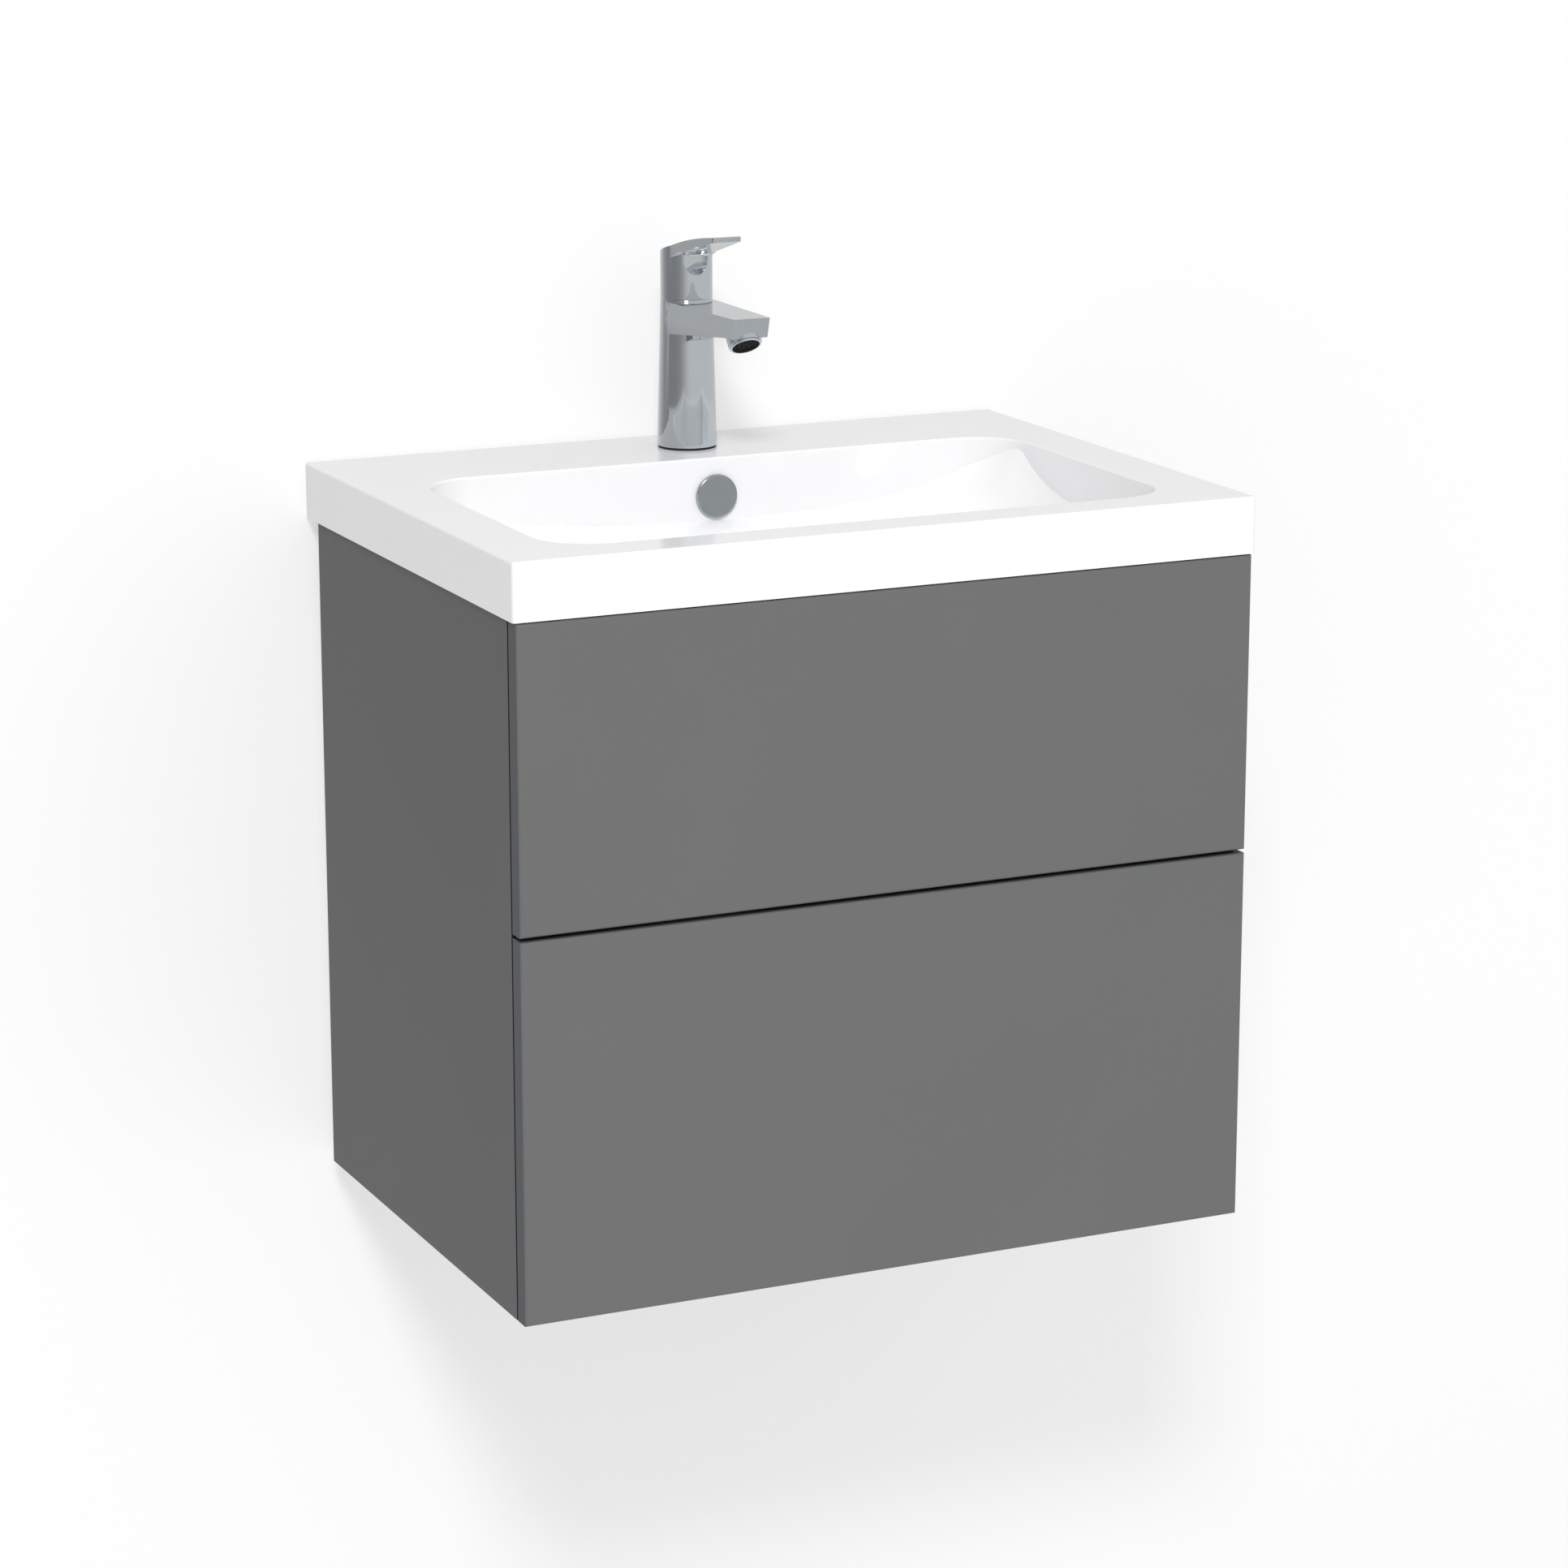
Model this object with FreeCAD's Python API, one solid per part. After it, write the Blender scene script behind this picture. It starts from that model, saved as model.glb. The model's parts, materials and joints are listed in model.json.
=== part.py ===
import FreeCAD
import Part
import math
import os
from FreeCAD import Vector

# Wall-hung bathroom vanity: a two-drawer cabinet, a one-piece basin, a single-lever tap and the waste.
# Millimetres. The origin is the middle of the wall rail's back face, on the wall.
# +X runs to the right, +Y into the wall, +Z up, and the drawers face -Y.

# Overall sizes
cabinet_width = 600.0
cabinet_height = 528.0
basin_overhang = 2.5        # basin past the cabinet on each side
basin_depth = 442.0
basin_height = 44.0
wall_gap = 22.0             # from the carcass boards' rear edges to the wall
rail_drop = 50.0            # from the carcass top to the middle of the wall rail

# Carcass boards
board = 16.0
back_board_thickness = 8.0
back_setback = 12.0         # back board behind which the side boards stand proud
groove_depth = 6.0
groove_slack = 0.2
front_rail_height = 50.0
front_rail_drop = 26.0      # front rail's top edge below the carcass top
rear_rail_height = 70.0
rear_rail_drop = 33.0       # rear rail's top edge below the carcass top
dowel_radius = 4.0
dowel_length = 30.0
dowel_in_side = 10.0
dowel_slack = 0.1
service_half_width = 90.0   # opening in the back board for the pipes
service_half_height = 52.0

# Drawer fronts
front_board = 16.0
front_relief = 2.0          # between the fronts and the carcass edges
front_gap = 3.0             # between the two fronts
top_reveal = 1.0            # between the upper front and the basin
upper_front_height = 231.0  # the lower front takes the rest
front_edge_radius = 2.5

# Drawer boxes
drawer_board = 12.0
drawer_bottom_thickness = 8.0
drawer_bottom_lift = 10.0   # from a side board's lower edge to the bottom board
drawer_groove_depth = 5.0
drawer_back_gap = 72.0      # from the wall to the drawer backs
lower_box_lift = 26.0       # lower box over the cabinet's underside
lower_box_drop = 67.0       # its top below the lower front's top
upper_box_lift = 20.0       # upper box over the upper front's lower edge
bowl_clearance = 11.0       # its top below the bowl
back_drop = 14.0            # drawer backs stand lower than the sides
cutout_clearance = 29.0     # from the trap's cup to the cut-out's cheeks
cutout_reach = 50.0         # cut-out goes on this far in front of the drain
angle_leg = 28.0
angle_thickness = 2.0
angle_height = 60.0

# Drawer runners
runner_length = 350.0
runner_height = 45.0
runner_width = 12.7
runner_sheet = 1.2
runner_play = 0.6
runner_lift = 35.0          # runner's middle over the box's lower edge

# Push latches
latch_size = 22.0
latch_depth = 22.0
latch_inset = 70.0          # upper latch, in from the drawer's side board
latch_lift = 64.0           # over the box's lower edge
plunger_radius = 4.0
plunger_fit = 0.08
plunger_seat = 16.0
latch_gap = 0.4             # plunger tip to drawer back

# Hanging
rail_inset = 20.0           # rail's ends, in from the cabinet's sides
rail_strip = 40.0
rail_sheet = 3.0
rail_ledge = 12.0
rail_lip = 10.0
rail_hole_radius = 4.0
rail_hole_spacing = 400.0
hook_width = 14.0
hook_sheet = 5.0
hook_play = 0.5
bracket_sheet = 3.0
bracket_length = 46.0
bracket_height = 54.0
bracket_screw_radius = 2.5
bracket_screw_head = 5.0
bracket_screw_length = 10.0
bracket_screw_slack = 0.1
bracket_screw_shares = (0.2, 0.65)      # places along the bracket
bracket_screw_cone = 2.0    # height of the countersunk head
bracket_screw_point = 0.7   # its small end as a share of the large one
edge_tolerance = 0.01       # for finding edges by their place
spacer_inset = 54.0         # in from the side boards
spacer_lift = 60.0
spacer_radius = 15.0
spacer_stem = 8.0
spacer_flange = 4.0

# Basin
deck = 12.0
skirt = 11.0
basin_corner = 3.0
basin_edge = 2.5
dish_lip = 3.0              # dish past the opening, in front and behind
dish_lid = 8.0              # height of a dish section over its rim
well_rise = 6.0             # cutting block of the walls above the rim
boss_bury = 6.0             # drain boss up into the dish
side_deck = 48.5            # from the opening to the basin's sides
front_deck = 38.0
rear_deck = 116.0
opening_corner = 45.0
bowl_wall = 9.0
bowl_roundness = 2.3        # exponent of the bowl's rounded cross-sections
drain_from_front = 200.0
drain_depth = 118.0
drain_slack = 2.5           # drain hole round the waste's tail
drain_boss = 36.0
drain_boss_depth = 142.0
seat_slack = 1.0            # recess round the waste flange
overflow_depth = 31.0
overflow_radius = 13.0
duct_half_width = 24.0
duct_thickness = 21.0
duct_wall = 7.0
duct_tail = 32.0            # duct's back wall, down below the hole
duct_start = 9.0            # duct's front, below the hole
channel_half_width = 16.0
channel_height = 9.0        # where the channel runs under the bowl to the drain
channel_tail = 29.0         # channel's back wall, down below the hole
channel_bend = 23.0         # channel's front, down below the hole
channel_turn = 4.0          # bend behind the drain boss
channel_bury = 5.0          # channel into the drain hole

# Waste and trap
flange_radius = 32.0
flange_thickness = 3.0
waste_outer = 20.0
waste_wall = 3.0
waste_length = 72.0
waste_fit = 0.3
waste_bar_depth = 14.0      # cross bars that guide the plug, below the flange's seat
waste_bar_height = 6.0
waste_bar_width = 5.0
waste_hub_wall = 3.0
window_lift = 6.0           # overflow window over the boss's lower edge
window_height = 10.0
window_width = 12.0
plug_rim = 3.0              # flange showing round the plug
plug_thickness = 5.0
plug_stem = 4.0
plug_stem_length = 34.0
plug_fit = 0.08
plug_gap = 0.4
washer_radius = 31.0
washer_thickness = 4.0
waste_nut_wall = 9.0
waste_nut_height = 12.0
trap_radius = 30.0
trap_wall = 2.5
trap_grip = 13.0            # waste tail inside the trap
trap_height = 62.0
cup_height = 46.0
cup_wall = 3.0              # cup outside the trap's body
pipe_radius = 16.0
pipe_wall = 1.8
pipe_drop = 24.0            # outlet pipe's axis below the trap's top
cup_edge_radius = 8.0
socket_wall = 5.0
socket_reach = 18.0         # pipe socket past the trap's body
pipe_fit = 0.1
pipe_gap = 2.0              # pipe's end to the trap's body
pipe_insertion = 20.0       # length of pipe in the wall socket
stop_ring_proud = 2.0       # ring that ends the insertion
stop_ring_length = 3.0
trap_collar = 4.0
collar_height = 6.0
dip_sleeve = 20.0           # sleeve round the waste's tail
dip_shelf = 2.0
dip_wall = 2.0
dip_drop = 14.0             # dip tube below the trap's body
trap_nut_wall = 3.0
trap_nut_height = 16.0
trap_nut_gap = 1.0

# Overflow cover
cover_radius = 17.5
cover_thickness = 2.5
cover_standoff = 1.0
cover_stem = 5.0
cover_stem_length = 14.0
cover_edge_radius = 1.2

# Tap
tap_from_wall = 60.0
tap_hole = 17.5
tap_taper = 3.2             # base radius over the top radius
tap_top_radius = 20.75
tap_gasket_thickness = 2.0
gasket_inset = 0.8
tap_joint = 119.0           # height of the joint below the handle, over the deck
pivot_drop = 9.0            # handle pivot below that joint
joint_gap = 0.4
handle_swing = 1.4          # room round the joint for the tilted handle
tap_wall = 2.75             # tap body round the cartridge nut
nut_bore = 13.5
nut_seat = 2.0              # nut's lower face under the pivot
cartridge_radius = 15.0
cartridge_wall = 3.6
cartridge_depth = 33.0
cartridge_floor = 8.0
thread_slack = 0.05
spindle_fit = 0.06
spindle_rise = 4.0
spindle_foot_gap = 0.4
spindle_slot = 4.3
spindle_slot_depth = 6.0
pin_radius = 1.5
pin_fit = 0.06
pin_seat = 0.02
pin_half_length = 10.0
stem_radius = 4.0
stem_fit = 0.05
stem_foot = 4.0
stem_rise = 38.0
stem_top_gap = 0.1
inlet_radius = 5.0
inlet_depth = 18.0
inlet_offset = 8.5
inlet_forward = 4.0
passage_radius = 4.0
passage_height = 100.0      # water passage into the spout, over the deck
passage_bury = 3.0
feed_radius = 3.0
stud_radius = 4.0
stud_back = 10.5
stud_gap = 1.0              # stud's end to the bottom of its hole
stud_length = 56.0
clamp_radius = 24.0
clamp_thickness = 3.0
clamp_slot = 14.5
clamp_slot_reach = 4.0      # slot's end behind the tap's axis
stud_nut_radius = 7.5
stud_nut_height = 14.0

# Tap spout, as distances in front of the tap's axis and heights over the deck
spout_reach = 126.0
spout_tip_half_width = 15.0
spout_shoulder = 0.75       # tap radius outside the spout's root
spout_top_root = 118.0
spout_top_tip = 119.5
spout_chin_reach = 121.0
spout_chin = 103.5
spout_heel_reach = 107.5     # where the underside starts back to the body
spout_heel = 103.0
spout_under_root = 92.0
keel_half_width = 9.0
keel_reach = 62.0
keel_tip = 100.0
keel_root = 82.0
keel_bury = 4.0
mouth_back = 80.0           # aerator's boss stops this far forward
mouth_low = 80.0
mouth_lid = 2.0
mouth_past = 10.0
aerator_reach = 113.5
aerator_height = 97.5
aerator_tilt = 35.0
aerator_radius = 12.2
aerator_bore = 11.0
aerator_length = 8.0
aerator_proud = 1.5
aerator_boss = 13.4
aerator_boss_length = 15.0
aerator_seat_gap = 0.5
insert_recess = 1.2
insert_thickness = 5.0
insert_rings = ((3.6, 6), (7.2, 12))    # radius of each ring of holes and their number
insert_hole = 0.8

# Tap handle, measured the same way
lever_reach = 80.0
lever_tip_half_width = 12.0
lever_corner = 4.0
lever_shoulder = 1.75
lever_tip_top = 177.0
lever_tip_thickness = 4.0
lever_mid_reach = 20.0
lever_mid_top = 166.2
cap_back_top = 151.5
lever_under_reach = 22.0
lever_under_height = 158.5
scoop_radius = 18.0
scoop_height = 154.0
scoop_reach = 32.0
scoop_back_height = 150.5   # lever's underside carried on to the tap's axis

cut_margin = 1.0            # cutting shapes run on this far past what they cut

# Planes that everything is placed from
front_y = -basin_depth
fronts_rear_y = front_y + front_board
carcass_front_y = fronts_rear_y + front_relief
carcass_back_y = -wall_gap
back_rear_y = carcass_back_y - back_setback
back_front_y = back_rear_y - back_board_thickness
drawer_rear_y = -drawer_back_gap
carcass_top_z = rail_drop
underside_z = carcass_top_z - cabinet_height
rim_z = carcass_top_z + basin_height
upper_front_z = carcass_top_z - top_reveal - upper_front_height
lower_front_top_z = upper_front_z - front_gap
lower_box_z = (underside_z + lower_box_lift, lower_front_top_z - lower_box_drop)
upper_box_z = (upper_front_z + upper_box_lift, rim_z - drain_depth - bowl_wall - bowl_clearance)
half_width = cabinet_width / 2
inner_x = half_width - board
drawer_x = inner_x - runner_width
drawer_inner_x = drawer_x - drawer_board
drain_y = front_y + drain_from_front
flange_top_z = rim_z - drain_depth
flange_seat_z = flange_top_z - flange_thickness
boss_bottom_z = rim_z - drain_boss_depth
waste_inner = waste_outer - waste_wall
drain_hole = waste_outer + drain_slack
trap_top_z = flange_seat_z - waste_length + trap_grip
trap_bottom_z = trap_top_z - trap_height
pipe_z = trap_top_z - pipe_drop
cutout_half_width = trap_radius + cup_wall + cutout_clearance
opening_half_width = half_width + basin_overhang - side_deck
opening_front_y = front_y + front_deck
opening_back_y = -rear_deck
tap_y = -tap_from_wall
tap_base_radius = tap_top_radius + tap_taper
nut_radius = tap_top_radius - tap_wall
spout_root_half_width = tap_top_radius - spout_shoulder
lever_root_half_width = tap_top_radius - lever_shoulder
pivot_z = rim_z + tap_joint - pivot_drop
joint_sphere = math.hypot(tap_top_radius, pivot_drop)

RIGHT = Vector(1, 0, 0)
BACK = Vector(0, 1, 0)
UP = Vector(0, 0, 1)
DOWN = Vector(0, 0, -1)


def block(x_span, y_span, z_span):
    """A box between three pairs of coordinates."""
    corner = Vector(x_span[0], y_span[0], z_span[0])
    return Part.makeBox(x_span[1] - x_span[0], y_span[1] - y_span[0], z_span[1] - z_span[0], corner)


def rod(radius, start, direction, length):
    return Part.makeCylinder(radius, length, start, direction)


def tube(outer, inner, start, direction, length):
    return rod(outer, start, direction, length).cut(rod(inner, start, direction, length))


def mirrored(shape):
    """The same piece on the other side of the cabinet."""
    return shape.mirror(Vector(0, 0, 0), RIGHT)


def hexagon(radius, start, height):
    """A hexagonal nut blank with its lower face centred on start."""
    corners = []
    for corner in range(7):
        angle = math.radians(60 * corner)
        corners.append(start + Vector(radius * math.cos(angle), radius * math.sin(angle), 0))
    return Part.Face(Part.makePolygon(corners)).extrude(UP * height)


def save(name, *solids):
    """Write one node: a single solid, or a group of identical ones."""
    shape = solids[0] if len(solids) == 1 else Part.makeCompound(solids)
    shape.exportStep("parts/" + name + ".step")


def edges_along(shape, direction):
    """The straight edges of a shape that run along a direction."""
    found = []
    for edge in shape.Edges:
        run = edge.Vertexes[-1].Point - edge.Vertexes[0].Point
        if run.Length > 0 and abs(run.normalize().dot(direction)) > 0.999:
            found.append(edge)
    return found


def edges_at(shape, axis, value):
    """The edges that lie wholly in the plane where one coordinate has a value."""
    found = []
    for edge in shape.Edges:
        box = edge.BoundBox
        low = (box.XMin, box.YMin, box.ZMin)[axis]
        high = (box.XMax, box.YMax, box.ZMax)[axis]
        if abs(low - value) < edge_tolerance and abs(high - value) < edge_tolerance:
            found.append(edge)
    return found


# Carcass: two side boards, a bottom, a back in grooves, and two stretchers, joined by hidden dowels

bottom_z = (underside_z, underside_z + board)
front_rail_z = (carcass_top_z - front_rail_drop - front_rail_height, carcass_top_z - front_rail_drop)
rear_rail_z = (carcass_top_z - rear_rail_drop - rear_rail_height, carcass_top_z - rear_rail_drop)
front_rail_y = (carcass_front_y, carcass_front_y + board)
rear_rail_y = (back_front_y - board, back_front_y)
carcass_y = (carcass_front_y, carcass_back_y)


def dowels(slack):
    """Dowels through the right-hand joints, or their bores when slack is added."""
    places = []
    for share in (0.2, 0.8):
        bottom_y = carcass_y[0] + share * (carcass_y[1] - carcass_y[0])
        places.append((bottom_y, underside_z + board / 2))
        places.append((front_rail_y[0] + board / 2, front_rail_z[0] + share * front_rail_height))
        places.append((rear_rail_y[0] + board / 2, rear_rail_z[0] + share * rear_rail_height))
    pins = []
    for y, z in places:
        start = Vector(inner_x + dowel_in_side + slack, y, z)
        pins.append(rod(dowel_radius + slack, start, Vector(-1, 0, 0), dowel_length + 2 * slack))
    return pins


def with_dowel_holes(shape):
    for bore in dowels(dowel_slack):
        shape = shape.cut(bore).cut(mirrored(bore))
    return shape


def side_board():
    panel = block((inner_x, half_width), carcass_y, (underside_z, carcass_top_z))
    groove_y = (back_front_y - groove_slack, back_rear_y + groove_slack)
    groove = block((inner_x, inner_x + groove_depth), groove_y, (underside_z + board, carcass_top_z))
    panel = with_dowel_holes(panel.cut(groove))
    for screw in bracket_screws(0.0):
        panel = panel.cut(screw)
    return panel


def back_board():
    reach = inner_x + groove_depth - groove_slack
    panel = block((-reach, reach), (back_front_y, back_rear_y), (underside_z + board, carcass_top_z))
    service_z = (pipe_z - service_half_height, pipe_z + service_half_height)
    service_x = (-service_half_width, service_half_width)
    panel = panel.cut(block(service_x, (back_front_y, back_rear_y), service_z))
    for notch in (hook_notch(), mirrored(hook_notch())):
        panel = panel.cut(notch)
    return panel


def build_carcass():
    side = side_board()
    save("side_right", side)
    save("side_left", mirrored(side))
    across = (-inner_x, inner_x)
    save("bottom_board", with_dowel_holes(block(across, carcass_y, bottom_z)))
    save("back_board", back_board())
    save("front_rail", with_dowel_holes(block(across, front_rail_y, front_rail_z)))
    save("rear_rail", with_dowel_holes(block(across, rear_rail_y, rear_rail_z)))
    pins = dowels(0.0)
    save("joint_dowels", *(pins + [mirrored(pin) for pin in pins]))


# Hanging: a steel rail on the wall, hooked brackets inside the back corners, spacers lower down

hook_x = (inner_x - bracket_sheet - hook_width, inner_x)
hook_z = (rail_strip / 2 + rail_lip + hook_play, rail_strip / 2 + rail_lip + hook_play + hook_sheet)
bracket_y = (rear_rail_y[0] - bracket_length, rear_rail_y[0])


def wall_rail():
    strip_x = (rail_inset - half_width, half_width - rail_inset)
    top = rail_strip / 2
    rail = block(strip_x, (-rail_sheet, 0), (-top, top))
    rail = rail.fuse(block(strip_x, (-rail_ledge, 0), (top - rail_sheet, top)))
    lip_y = (-rail_ledge, rail_sheet - rail_ledge)
    rail = rail.fuse(block(strip_x, lip_y, (top - rail_sheet, top + rail_lip)))
    for side in (-1, 1):
        start = Vector(side * rail_hole_spacing / 2, -rail_sheet, 0)
        rail = rail.cut(rod(rail_hole_radius, start, BACK, rail_sheet))
    return rail.removeSplitter()


def hook_notch():
    """Room for a hook where it passes the back board."""
    slack = 2.0
    notch_x = (hook_x[0] - slack, inner_x + groove_depth)
    return block(notch_x, (back_front_y, back_rear_y), (hook_z[0] - slack, hook_z[1] + slack))


def bracket_screws(slack):
    """Two screws that hold the right-hand bracket, or their holes when slack is added."""
    screws = []
    middle_z = hook_z[1] - bracket_height / 2
    for share in bracket_screw_shares:
        y = bracket_y[0] + share * bracket_length
        start = Vector(inner_x - bracket_sheet, y, middle_z - bracket_height / 5)
        shank = rod(bracket_screw_radius + slack, start, RIGHT, bracket_screw_length + bracket_sheet)
        small_end = bracket_screw_head * bracket_screw_point
        head = Part.makeCone(bracket_screw_head, small_end, bracket_screw_cone, start, RIGHT * -1)
        screws.append(shank.fuse(head))
    return screws


def hanging_bracket():
    plate = block((inner_x - bracket_sheet, inner_x), bracket_y, (hook_z[1] - bracket_height, hook_z[1]))
    tongue_y = -rail_sheet - hook_play
    arm = block(hook_x, (bracket_y[0], tongue_y), hook_z)
    lip_inner_y = rail_sheet - rail_ledge + hook_play
    tongue_z = (rail_strip / 2 + hook_play, hook_z[1])
    tongue = block(hook_x, (lip_inner_y, tongue_y), tongue_z)
    bracket = plate.fuse(arm).fuse(tongue)
    for screw in bracket_screws(bracket_screw_slack):
        bracket = bracket.cut(screw)
    return bracket.removeSplitter()


def wall_spacer():
    """A plastic spacer between the back board and the wall."""
    start = Vector(inner_x - spacer_inset, back_rear_y, underside_z + spacer_lift)
    length = -back_rear_y
    spacer = rod(spacer_radius, start, BACK, spacer_flange)
    spacer = spacer.fuse(rod(spacer_stem, start, BACK, length))
    return spacer.fuse(rod(spacer_radius, start + BACK * (length - spacer_flange), BACK, spacer_flange))


def build_hanging():
    save("wall_rail", wall_rail())
    bracket = hanging_bracket()
    save("hanging_brackets", bracket, mirrored(bracket))
    screws = bracket_screws(0.0)
    save("bracket_screws", *(screws + [mirrored(screw) for screw in screws]))
    spacer = wall_spacer()
    save("wall_spacers", spacer, mirrored(spacer))


# Drawers: a full-width front, side boards, a bottom in grooves, a back and steel angles

def drawer_front(z_span):
    front = block((-half_width, half_width), (front_y, fronts_rear_y), z_span)
    return front.makeFillet(front_edge_radius, edges_at(front, 1, front_y))


def drawer_side(box_z):
    panel = block((drawer_inner_x, drawer_x), (fronts_rear_y, drawer_rear_y), box_z)
    groove_z = bottom_span(box_z)
    groove_z = (groove_z[0] - groove_slack, groove_z[1] + groove_slack)
    groove_y = (fronts_rear_y, drawer_rear_y - drawer_board)
    return panel.cut(block((drawer_inner_x, drawer_inner_x + drawer_groove_depth), groove_y, groove_z))


def bottom_span(box_z):
    low = box_z[0] + drawer_bottom_lift
    return (low, low + drawer_bottom_thickness)


def drawer_bottom(box_z):
    reach = drawer_inner_x + drawer_groove_depth - groove_slack
    return block((-reach, reach), (fronts_rear_y, drawer_rear_y - drawer_board), bottom_span(box_z))


def drawer_back(box_z, x_span):
    return block(x_span, (drawer_rear_y - drawer_board, drawer_rear_y), (box_z[0], box_z[1] - back_drop))


def front_angle(box_z):
    """A steel angle that ties a side board to the drawer front."""
    low = bottom_span(box_z)[1] + 1
    z = (low, low + angle_height)
    leg_x = (drawer_inner_x - angle_leg, drawer_inner_x)
    on_front = block(leg_x, (fronts_rear_y, fronts_rear_y + angle_thickness), z)
    leg_y = (fronts_rear_y, fronts_rear_y + angle_leg)
    on_side = block((drawer_inner_x - angle_thickness, drawer_inner_x), leg_y, z)
    return on_front.fuse(on_side).removeSplitter()


def build_lower_drawer():
    save("lower_front", drawer_front((underside_z, lower_front_top_z)))
    side = drawer_side(lower_box_z)
    save("lower_side_right", side)
    save("lower_side_left", mirrored(side))
    save("lower_bottom", drawer_bottom(lower_box_z))
    save("lower_back", drawer_back(lower_box_z, (-drawer_inner_x, drawer_inner_x)))
    angle = front_angle(lower_box_z)
    save("lower_front_angles", angle, mirrored(angle))


def build_upper_drawer():
    """The upper box goes round the trap, in a cut-out that is open at the back."""
    save("upper_front", drawer_front((upper_front_z, carcass_top_z - top_reveal)))
    side = drawer_side(upper_box_z)
    save("upper_side_right", side)
    save("upper_side_left", mirrored(side))
    cutout_front_y = drain_y - cutout_reach
    rear_y = drawer_rear_y - drawer_board
    cheek_x = (cutout_half_width, cutout_half_width + drawer_board)
    gap_x = (-cheek_x[1], cheek_x[1])
    gap = block(gap_x, (cutout_front_y - drawer_board, rear_y), bottom_span(upper_box_z))
    save("upper_bottom", drawer_bottom(upper_box_z).cut(gap))
    back = drawer_back(upper_box_z, (cheek_x[0], drawer_inner_x))
    save("upper_backs", back, mirrored(back))
    wall_z = (upper_box_z[0], upper_box_z[1] - back_drop)
    cheek = block(cheek_x, (cutout_front_y, rear_y), wall_z)
    save("upper_cutout_cheeks", cheek, mirrored(cheek))
    nose_y = (cutout_front_y - drawer_board, cutout_front_y)
    save("upper_cutout_front", block(gap_x, nose_y, wall_z))
    angle = front_angle(upper_box_z)
    save("upper_front_angles", angle, mirrored(angle))


# Runners: three nested channels each side, fixed member on the carcass, drawer member on the box

def channel(web_x, rim_x, height, z):
    """A sheet channel with its web at web_x and its flanges reaching to rim_x."""
    y = (carcass_front_y + 2, carcass_front_y + 2 + runner_length)
    toward = 1 if rim_x > web_x else -1
    span = (min(web_x, rim_x), max(web_x, rim_x))
    profile = block(span, y, (z - height / 2, z + height / 2))
    hollow_x = sorted((web_x + toward * runner_sheet, rim_x + toward))
    inner = height / 2 - runner_sheet
    return profile.cut(block(hollow_x, y, (z - inner, z + inner)))


def build_runners(name, box_z):
    z = box_z[0] + runner_lift
    step = 2 * (runner_sheet + runner_play)
    fixed = channel(inner_x, inner_x - runner_width + 2 * runner_sheet, runner_height, z)
    middle_web = inner_x - runner_sheet - runner_play
    middle_rim = inner_x - runner_width + runner_sheet + runner_play
    middle = channel(middle_web, middle_rim, runner_height - step, z)
    drawer_rim = middle_web - runner_sheet - runner_play
    moving = channel(drawer_x, drawer_rim, runner_height - 2 * step, z)
    save(name + "_runner_fixed", fixed, mirrored(fixed))
    save(name + "_runner_middle", middle, mirrored(middle))
    save(name + "_runner_drawer", moving, mirrored(moving))


# Push latches: a housing on the back board and a sprung plunger that the drawer back presses

def build_latch(name, x, box_z):
    z = box_z[0] + latch_lift
    half = latch_size / 2
    housing_front_y = back_front_y - latch_depth
    housing = block((x - half, x + half), (housing_front_y, back_front_y), (z - half, z + half))
    bore = rod(plunger_radius + plunger_fit, Vector(x, housing_front_y, z), BACK, latch_depth - 2)
    save(name + "_latch_housing", housing.cut(bore))
    tip = Vector(x, drawer_rear_y + latch_gap, z)
    length = housing_front_y + plunger_seat - tip.y
    plunger = rod(plunger_radius, tip, BACK, length)
    save(name + "_latch_plunger", plunger.makeFillet(1.0, edges_at(plunger, 1, tip.y)))


# Basin: a skirted slab with a dished bowl, an overflow duct and a drain boss

def dish_section(from_front, half_width_here, depth, grow):
    """One cross-section of the dish: flat-bottomed, rising ever more steeply to the rim."""
    steps = 16
    y = front_y + from_front
    points = []
    for step in range(steps + 1):
        angle = math.pi * step / steps
        across = math.cos(angle)
        down = math.sin(angle) if 0 < step < steps else 0.0
        x = (half_width_here + grow) * math.copysign(abs(across) ** (2 / bowl_roundness), across)
        points.append(Vector(x, y, rim_z - (depth + grow) * down ** (2 / bowl_roundness)))
    curve = Part.BSplineCurve()
    curve.interpolate(points)
    lift = UP * dish_lid
    corners = [points[-1], points[-1] + lift, points[0] + lift, points[0]]
    sides = [Part.LineSegment(a, b).toShape() for a, b in zip(corners, corners[1:])]
    return Part.Wire([curve.toShape()] + sides)


def dish(grow):
    """The bowl's floor as a solid, larger all round by grow for the shell outside it."""
    rear = -front_y - rear_deck
    # Each cross-section: how far behind the basin's front, how much wider than the opening, and its depth
    stations = (
        (front_deck - dish_lip - grow, -8.0, 46.0),
        (front_deck + 50, 5.0, 96.0),
        (drain_from_front - 60, 8.0, 114.0),
        (drain_from_front, 8.0, drain_depth),
        (drain_from_front + 60, 5.0, 92.0),
        (rear + dish_lip + grow, -16.0, 50.0),
    )
    sections = []
    for place, wider, depth in stations:
        sections.append(dish_section(place, opening_half_width + wider, depth, grow))
    return Part.makeLoft(sections, True, False)


def well(grow):
    """The bowl's upright walls, as a rounded block."""
    y = (opening_front_y - grow, opening_back_y + grow)
    reach = opening_half_width + grow
    body = block((-reach, reach), y, (rim_z - drain_boss_depth, rim_z + well_rise))
    return body.makeFillet(opening_corner + grow, edges_along(body, UP))


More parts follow.
